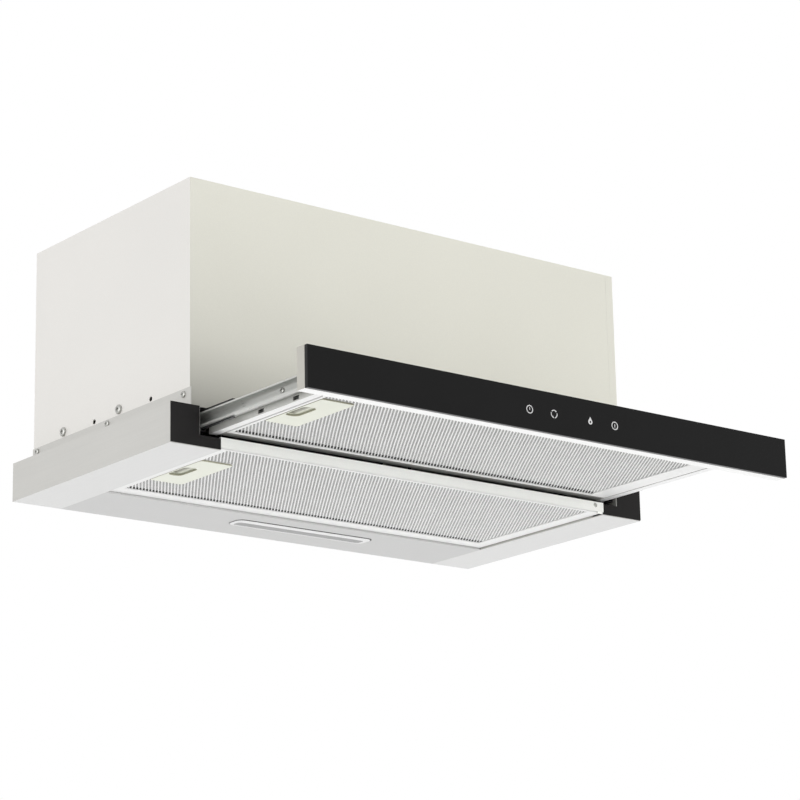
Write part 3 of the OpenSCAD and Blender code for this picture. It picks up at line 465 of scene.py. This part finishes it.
def diamond_sheet(shape, xs, ys, level, gone, shadowed_rows):
    """Expanded metal: strands that cross at every second point of a grid, with a blind diamond hole between.
    gone(x, y) tells where the sheet is left out. The last argument is how many rows at its front and back
    have holes and cross strands in a painted shadow, where the frame shades them. Gives each face's finish."""
    open_share, edge_rise, hole_depth, back = 0.59, 0.22, 1.4, level + 1.9
    across, along = len(xs) - 1, len(ys) - 1
    kept = {(i, j) for i in range(across) for j in range(along)
            if not gone((xs[i] + xs[i + 1]) / 2, (ys[j] + ys[j + 1]) / 2)}
    points, faces, kinds, index = [], [], [], {}

    def corner(i, j):
        """A point of the grid: a crossing of two strands, or the middle of a hole."""
        if (i, j) not in index:
            index[i, j] = len(points)
            points.append((xs[i], ys[j], level if (i + j) % 2 == 0 else level + edge_rise))
        return index[i, j]

    def rim(i, j, a, b):
        """The point of a hole's rim on the way from the hole's middle (i, j) to the crossing (a, b)."""
        if (i, j, a, b) not in index:
            index[i, j, a, b] = len(points)
            points.append((xs[i] + open_share * (xs[a] - xs[i]), ys[j] + open_share * (ys[b] - ys[j]),
                           level + edge_rise))
        return index[i, j, a, b]

    def in_edge_shadow(j):
        return j < shadowed_rows[0] or j > along - shadowed_rows[1]

    def is_hole(i, j):
        return all((i + a, j + b) in kept for a in (-1, 0) for b in (-1, 0))

    for i, j in sorted(kept):
        ends = ((i, j), (i + 1, j + 1)) if (i + j) % 2 == 0 else ((i + 1, j), (i, j + 1))
        holes = ((i + 1, j), (i, j + 1)) if (i + j) % 2 == 0 else ((i, j), (i + 1, j + 1))
        for h in holes:
            first, last = rim(*h, *ends[0]), rim(*h, *ends[1])
            faces.append([corner(*ends[0]), first, last, corner(*ends[1])])
            # painted shadow: cross strands in the rows next to the frame
            kinds.append(SHADED_EDGE if in_edge_shadow(j) and (i + j) % 2 else STRAND)
            if not is_hole(*h):
                faces.append([first, corner(*h), last])
                kinds.append(STRAND)
    for j in range(1, along):
        for i in range(1, across):
            if (i + j) % 2 == 0 or not is_hole(i, j):
                continue
            ring = [rim(i, j, i + 1, j), rim(i, j, i, j + 1), rim(i, j, i - 1, j), rim(i, j, i, j - 1)]
            # painted shade on the hole walls, with a darker painted shadow in the rows next to the frame
            base, kind = len(points), SHADED_EDGE if in_edge_shadow(j) else HOLE_WALL
            points.extend((points[k][0], points[k][1], level + hole_depth) for k in ring)
            faces += [[ring[k], ring[(k + 1) % 4], base + (k + 1) % 4, base + k] for k in range(4)]
            faces.append([base, base + 1, base + 2, base + 3])
            kinds += [kind] * 5

    # walk once round the open border, and close the sheet to its back
    sides = {}
    for f in faces:
        for a, b in zip(f, f[1:] + f[:1]):
            key = (min(a, b), max(a, b))
            sides[key] = sides.get(key, 0) + 1
    border = {}
    for (a, b), count in sides.items():
        if count == 1:
            border.setdefault(a, []).append(b)
            border.setdefault(b, []).append(a)
    start = min(border)
    loop, before = [start], None
    while True:
        ahead = [k for k in border[loop[-1]] if k != before]
        before = loop[-1]
        if ahead[0] == start or len(loop) > len(border):
            break
        loop.append(ahead[0])
    base = len(points)
    points.extend((points[k][0], points[k][1], back) for k in loop)
    many = len(loop)
    faces += [[loop[k], loop[(k + 1) % many], base + (k + 1) % many, base + k] for k in range(many)]
    faces.append([base + k for k in range(many)])
    kinds += [STRAND] * many + [INNER_SIDE]
    shape.add(points, faces)
    return kinds


def filter_mesh(name, node, x_ends, y_ends, level, latch, shadowed_rows):
    """The mesh of one filter, left out where its latch plate fills the corner."""
    latch_wide, latch_long = 38, 90
    latch_right, latch_back = latch[0] + latch_wide, latch[1] + latch_long
    xs = steps_through([x_ends[0], latch_right, x_ends[1]], HALF_ACROSS)
    ys = steps_through([y_ends[0], latch[1], latch_back, y_ends[1]], HALF_ALONG)
    shape = Shape()
    kinds = diamond_sheet(shape, xs, ys, level, lambda x, y: x < latch_right and latch[1] < y < latch_back,
                          shadowed_rows)
    finishes = [FINISHES["filter_mesh_metal"], HOLE_WALLS, SHADED_EDGE_FINISH, MESH_BACK]
    return piece(name, shape.points, shape.faces, finishes, BODY_OF[node], (node,),
                 crease=40, kinds=kinds)


# ---- slides and lamp ----

def channel(name, node, side, middle_line, y0, y1, finish):
    """A rolled steel channel along y. middle_line is the middle of its wall in x and z, for the right side,
    and side is -1 to mirror it to the left."""
    def offset(k, by):
        before = Vector(middle_line[max(k - 1, 0)])
        after = Vector(middle_line[min(k + 1, len(middle_line) - 1)])
        way = (after - before).normalized()
        return (middle_line[k][0] - by * way.y, middle_line[k][1] + by * way.x)
    half_wall = 0.48
    outline = [offset(k, half_wall) for k in range(len(middle_line))]
    outline += [offset(k, -half_wall) for k in reversed(range(len(middle_line)))]
    shape = Shape()
    shape.rings([[(side * x, y, z) for x, z in outline] for y in (y0, y1)])
    piece(name, shape.points, shape.faces, finish, BODY_OF[node], (node,), crease=40)


def slides():
    """The members of both slides that move with the drawer, with a curved race at each flange."""
    upper = [(261.4, -6.3), (261.45, -5.0), (260.7, -4.52), (257.2, -4.5),
             (254.6, -4.9), (252.9, -5.9), (251.9, -7.4), (251.5, -9.0)]
    sum_of_heights, front, back = -23.0, -200.5, 67.5
    line = upper + [(x, sum_of_heights - z) for x, z in reversed(upper)]
    for word, side in (("left", -1), ("right", 1)):
        channel(f"slide_inner_{word}_rolled", f"slide_inner_{word}", side, line, front, back, RACE_STEEL)


def round_corners(centre, size, corner, z):
    """A level ring of points round a rectangle with round corners."""
    ring = []
    for quarter, (sx, sy) in enumerate(((1, 1), (-1, 1), (-1, -1), (1, -1))):
        for k in range(7):
            angle = math.radians(90 * quarter + 15 * k)
            ring.append((centre[0] + sx * (size[0] / 2 - corner) + corner * math.cos(angle),
                         centre[1] + sy * (size[1] / 2 - corner) + corner * math.sin(angle), z))
    return ring


def lamp_rim():
    """The lamp's frame, with a soft outer edge, and a dark ring round it: a painted shade that stands in for
    the gap between frame and plate.
    """
    at, rim_at, rim = (26.5, 242), (26.3, 239), (176.5, 24)
    shape = Shape()
    loop = [round_corners(at, (166.6, 12.6), 3.5, -33), round_corners(at, (166.6, 12.6), 3.5, -40),
            round_corners(at, (166, 13), 4, -40.3), round_corners(at, (166.5, 13.5), 4.2, -40.8),
            round_corners(rim_at, (rim[0] - 1.2, rim[1] - 1.2), 7.6, -40.8),
            round_corners(rim_at, (rim[0] - 0.3, rim[1] - 0.3), 8, -40.62),
            round_corners(rim_at, rim, 8, -40.3), round_corners(rim_at, rim, 8, -40.0),
            round_corners(at, (169.6, 15.6), 3.8, -40.0), round_corners(at, (169.6, 15.6), 3.8, -33)]
    shape.rings(loop, round_again=True)
    frame_faces = len(shape.faces)
    # painted shade: a dark ring round the frame in place of the shadow gap
    shade_ring_at, shade_ring = (26.3, 238.2), (rim[0] + 1.6, rim[1] + 2.4)
    inner = (rim[0] - 1, rim[1] - 1)
    loop = [round_corners(rim_at, inner, 7.6, -40.0), round_corners(rim_at, inner, 7.6, -40.28),
            round_corners(shade_ring_at, shade_ring, 8.6, -40.28), round_corners(shade_ring_at, shade_ring, 8.6, -40.0)]
    shape.rings(loop, round_again=True)
    kinds = [0] * frame_faces + [1] * (len(shape.faces) - frame_faces)
    piece("lamp_rim_gap_shaded", shape.points, shape.faces, [FINISHES["lamp_trim"], LAMP_GAP_SHADE], "housing",
          ("lamp_bezel",), crease=25, kinds=kinds)


# ---- screws and rivets ----

def screw_head(shape, put_at, head_r, head_t, shank_r, shank_l):
    """A pan-head screw with a cross recess. Its seat is at height 0 and its head stands up from there."""
    steps = 32
    profile = [(shank_r, -shank_l), (shank_r, 0), (head_r, 0), (head_r, head_t * 0.35),
               (head_r * 0.95, head_t * 0.66), (head_r * 0.8, head_t * 0.9), (head_r * 0.62, head_t)]
    rings = turned(profile, steps, put_at)

    def cross(height, grow):
        ring = []
        for k in range(steps):
            angle = 2 * math.pi * k / steps
            turn = abs((angle + math.pi / 4) % (math.pi / 2) - math.pi / 4)
            reach = head_r * min(0.52 * grow / math.cos(turn), 0.15 * grow / max(math.sin(turn), 0.01))
            reach = max(reach, head_r * 0.15 * grow)
            ring.append(put_at(reach * math.cos(angle), reach * math.sin(angle), height))
        return ring

    rings += [cross(head_t, 1.0), cross(head_t * 0.45, 0.7)]
    shape.rings(rings)


def on_side(side, y, z, x):
    """Stands a turned shape out of a side wall: side is -1 for left and 1 for right."""
    return lambda across, up, height: (side * (x + height), y + across, z + up * side)


def screws():
    """All the screws that show, each kind as one piece with both sides' screws, and the rivet of the beam."""
    flange = [(13, 12.5), (147.3, 13.7), (280.2, 13.7)]
    high = [(127.6, 24), (231, 24)]
    slide = [(-185, -9.5), (-114, -9.5)]
    # name, node, places (y, z), x of the seat, head's radius and height, shank's radius and length
    kinds = (("flange_pan_screws", "flange_screws", flange, 276, 3.4, 1.8, 1.8, 6),
             ("side_pan_screws", "side_screws", high, 275, 4.8, 2.6, 2.0, 8),
             ("slide_pan_screws", "slide_screws", slide, 252, 3.0, 1.6, 1.5, 3.4))
    for name, node, spots, x, head_r, head_t, shank_r, shank_l in kinds:
        shape = Shape()
        for y, z in spots:
            for side in (-1, 1):
                screw_head(shape, on_side(side, y, z, x), head_r, head_t, shank_r, shank_l)
        piece(name, shape.points, shape.faces, FINISHES["zinc_steel"], BODY_OF[node],
              (node,), 28)
    shape = Shape()
    dome = [(1.4, -1.8), (1.4, 0), (2.4, 0), (2.3, 0.25), (1.8, 0.5), (1.0, 0.6)]
    rivet_x, rivet_z = 234.6, -31
    shape.rings(turned(dome, 24, lambda across, up, height: (rivet_x + across, -height, rivet_z + up)))
    piece("beam_dome_rivet", shape.points, shape.faces, FINISHES["zinc_steel"], "housing",
          ("beam_rivet",), 28)


# ---- studio ----

def world_light():
    """Even white surroundings. In gloss they are darker ahead of the hood and to its right."""
    world = bpy.data.worlds.new("studio")
    bpy.context.scene.world = world
    world.use_nodes = True
    tree = world.node_tree
    tree.nodes.clear()
    path = put(tree, "LightPath")
    seen = put(tree, "Math", {0: path.outputs["Is Camera Ray"], 1: path.outputs["Is Transmission Ray"]},
               operation="MAXIMUM")
    way = put(tree, "TexCoord").outputs["Generated"]
    ahead = put(tree, "VectorMath", {0: way, 1: (0.35, -0.94, 0.0)}, operation="DOT_PRODUCT").outputs["Value"]
    veil = put(tree, "MapRange", {"Value": ahead, "From Min": 0.1, "From Max": 1.0,
                                  "To Min": 0.95, "To Max": 0.5})
    glossy = put(tree, "Math", {0: veil.outputs["Result"], 1: path.outputs["Is Glossy Ray"]},
                 operation="MULTIPLY")
    spread = put(tree, "Math", {0: 1.0, 1: path.outputs["Is Glossy Ray"]}, operation="SUBTRACT")
    soft_level = 0.72
    level = put(tree, "Math", {0: spread.outputs[0], 1: soft_level, 2: glossy.outputs[0]},
                operation="MULTIPLY_ADD")
    shown = put(tree, "Mix", {0: seen.outputs[0], 2: level.outputs[0], 3: 1.0}, data_type="FLOAT")
    back = put(tree, "Background", {"Color": (1, 1, 1, 1), "Strength": shown.outputs[0]})
    tree.links.new(back.outputs[0], put(tree, "OutputWorld").inputs["Surface"])


def floor():
    """A plain pale floor well below the hood, which keeps its shadow and is clear from beneath. A glow for
    camera rays, and a weaker one for glossy rays, brings it nearer to the white of the surroundings."""
    glow_seen, glow_share_in_gloss = 0.42, 0.55
    made = bpy.data.materials.new("floor")
    made.use_nodes = True
    tree = made.node_tree
    tree.nodes.clear()
    path = put(tree, "LightPath")
    geometry = put(tree, "NewGeometry")
    matt = put(tree, "BsdfDiffuse", {"Color": (0.82, 0.82, 0.82, 1)})
    mirrored = put(tree, "Math", {0: path.outputs["Is Glossy Ray"], 1: glow_share_in_gloss},
                   operation="MULTIPLY")
    seen = put(tree, "Math", {0: path.outputs["Is Camera Ray"], 1: mirrored.outputs[0]},
               operation="MAXIMUM")
    lift = put(tree, "Math", {0: seen.outputs[0], 1: glow_seen}, operation="MULTIPLY")
    glow = put(tree, "Emission", {"Color": (1, 1, 1, 1), "Strength": lift.outputs[0]})
    both = put(tree, "AddShader", {0: matt.outputs[0], 1: glow.outputs[0]})
    under = put(tree, "MixShader", {0: geometry.outputs["Backfacing"], 1: both.outputs[0],
                                    2: put(tree, "BsdfTransparent").outputs[0]})
    tree.links.new(under.outputs[0], put(tree, "OutputMaterial").inputs["Surface"])
    mesh = bpy.data.meshes.new("floor")
    reach = FLOOR_REACH
    mesh.from_pydata([(x, y, FLOOR_Z) for x, y in ((-reach, -reach), (reach, -reach), (reach, reach),
                                                   (-reach, reach))], [], [(0, 1, 2, 3)])
    mesh.materials.append(made)
    plane = bpy.data.objects.new("floor", mesh)
    bpy.context.scene.collection.objects.link(plane)


def lamp(name, spot, aim, size, watts):
    """A broad soft box that the camera itself doesn't see."""
    light = bpy.data.lights.new(name, "AREA")
    light.shape, light.size, light.energy = "SQUARE", size, watts
    made = bpy.data.objects.new(name, light)
    bpy.context.scene.collection.objects.link(made)
    made.location = spot
    made.rotation_mode = "QUATERNION"
    made.rotation_quaternion = (Vector(aim) - Vector(spot)).to_track_quat("-Z", "Y")
    made.visible_camera = False


def camera():
    """A long lens below the hood, ahead of it and to its left, at the photograph's viewpoint."""
    spot, turns = (-1.7076, -2.1215, -0.7083), (-38.43, -15.51, -1.18)
    data = bpy.data.cameras.new("camera")
    data.sensor_width, data.lens = 36.0, 126.21
    data.clip_start, data.clip_end = 0.1, 60.0
    made = bpy.data.objects.new("camera", data)
    bpy.context.scene.collection.objects.link(made)
    azimuth, elevation, roll = (math.radians(a) for a in turns)
    back = Vector((math.sin(azimuth) * math.cos(elevation), -math.cos(azimuth) * math.cos(elevation),
                   math.sin(elevation)))
    right = Vector((math.cos(azimuth), math.sin(azimuth), 0))
    up = back.cross(right)
    side = math.cos(roll) * right + math.sin(roll) * up
    top = math.cos(roll) * up - math.sin(roll) * right
    made.matrix_world = Matrix.Translation(spot) @ Matrix((side, top, back)).transposed().to_4x4()
    bpy.context.scene.camera = made


# ---- putting it together ----

OWN_FINISH = {"rear_base_plate": REAR_PLATE, "front_latch_slider": FRONT_TRAY, "rear_latch_slider": REAR_TRAY,
              "slide_outer_left": DARK_CHANNEL, "slide_outer_right": DARK_CHANNEL}
# radius of a node's rounded edges, in millimetres
EDGES = {
    0.35: ("casing_front_shell", "casing_right_side", "casing_rear_panel", "casing_top_plate",
           "base_side_left", "base_side_right", "rear_base_plate", "front_beam", "drawer_side_left",
           "drawer_side_right", "drawer_rear_beam", "drawer_top_cover", "front_filter_frame",
           "rear_filter_frame", "slide_outer_left", "slide_outer_right"),
    0.5: ("end_cap_left", "end_cap_right", "glass_panel", "front_profile", "lamp_lens",
          "outlet_collar", "front_latch_plate", "rear_latch_plate", "front_latch_slider", "rear_latch_slider",
          "control_box", "control_box_lid", "cable_grommet"),
}

camera()
world_light()
floor()
lamp("left_box", (-5.0, 0.9, 0.5), (0, 0.1, 0.1), 3.0, 72)
lamp("front_box", (0.6, -5.0, 1.2), (0, 0, 0.1), 3.0, 30)
lamp("low_front_box", (0.7, -4.0, -0.7), (0, 0, 0), 1.5, 52)
lamp("low_box", (0.4, 0.5, -1.0), (0, 0.05, 0), 2.4, 7)

for name, node in NODES.items():
    node.data.materials.clear()
    node.data.materials.append(FINISHES[SLOT_OF[name]])
for radius, names in EDGES.items():
    for name in names:
        rounded(name, radius)
filter_mesh("front_expanded_mesh", "front_filter_mesh", (-238.8, 222.5), (-197.5, -9.6), level=-23.0,
            latch=(-236, -152.5), shadowed_rows=(2, 4))
filter_mesh("rear_expanded_mesh", "rear_filter_mesh", (-233.8, 231.0), (4.4, 188.0), level=-37.0,
            latch=(-231, 50), shadowed_rows=(0, 4))
slides()
lamp_rim()
screws()

scene = bpy.context.scene
scene.view_settings.view_transform = "Standard"
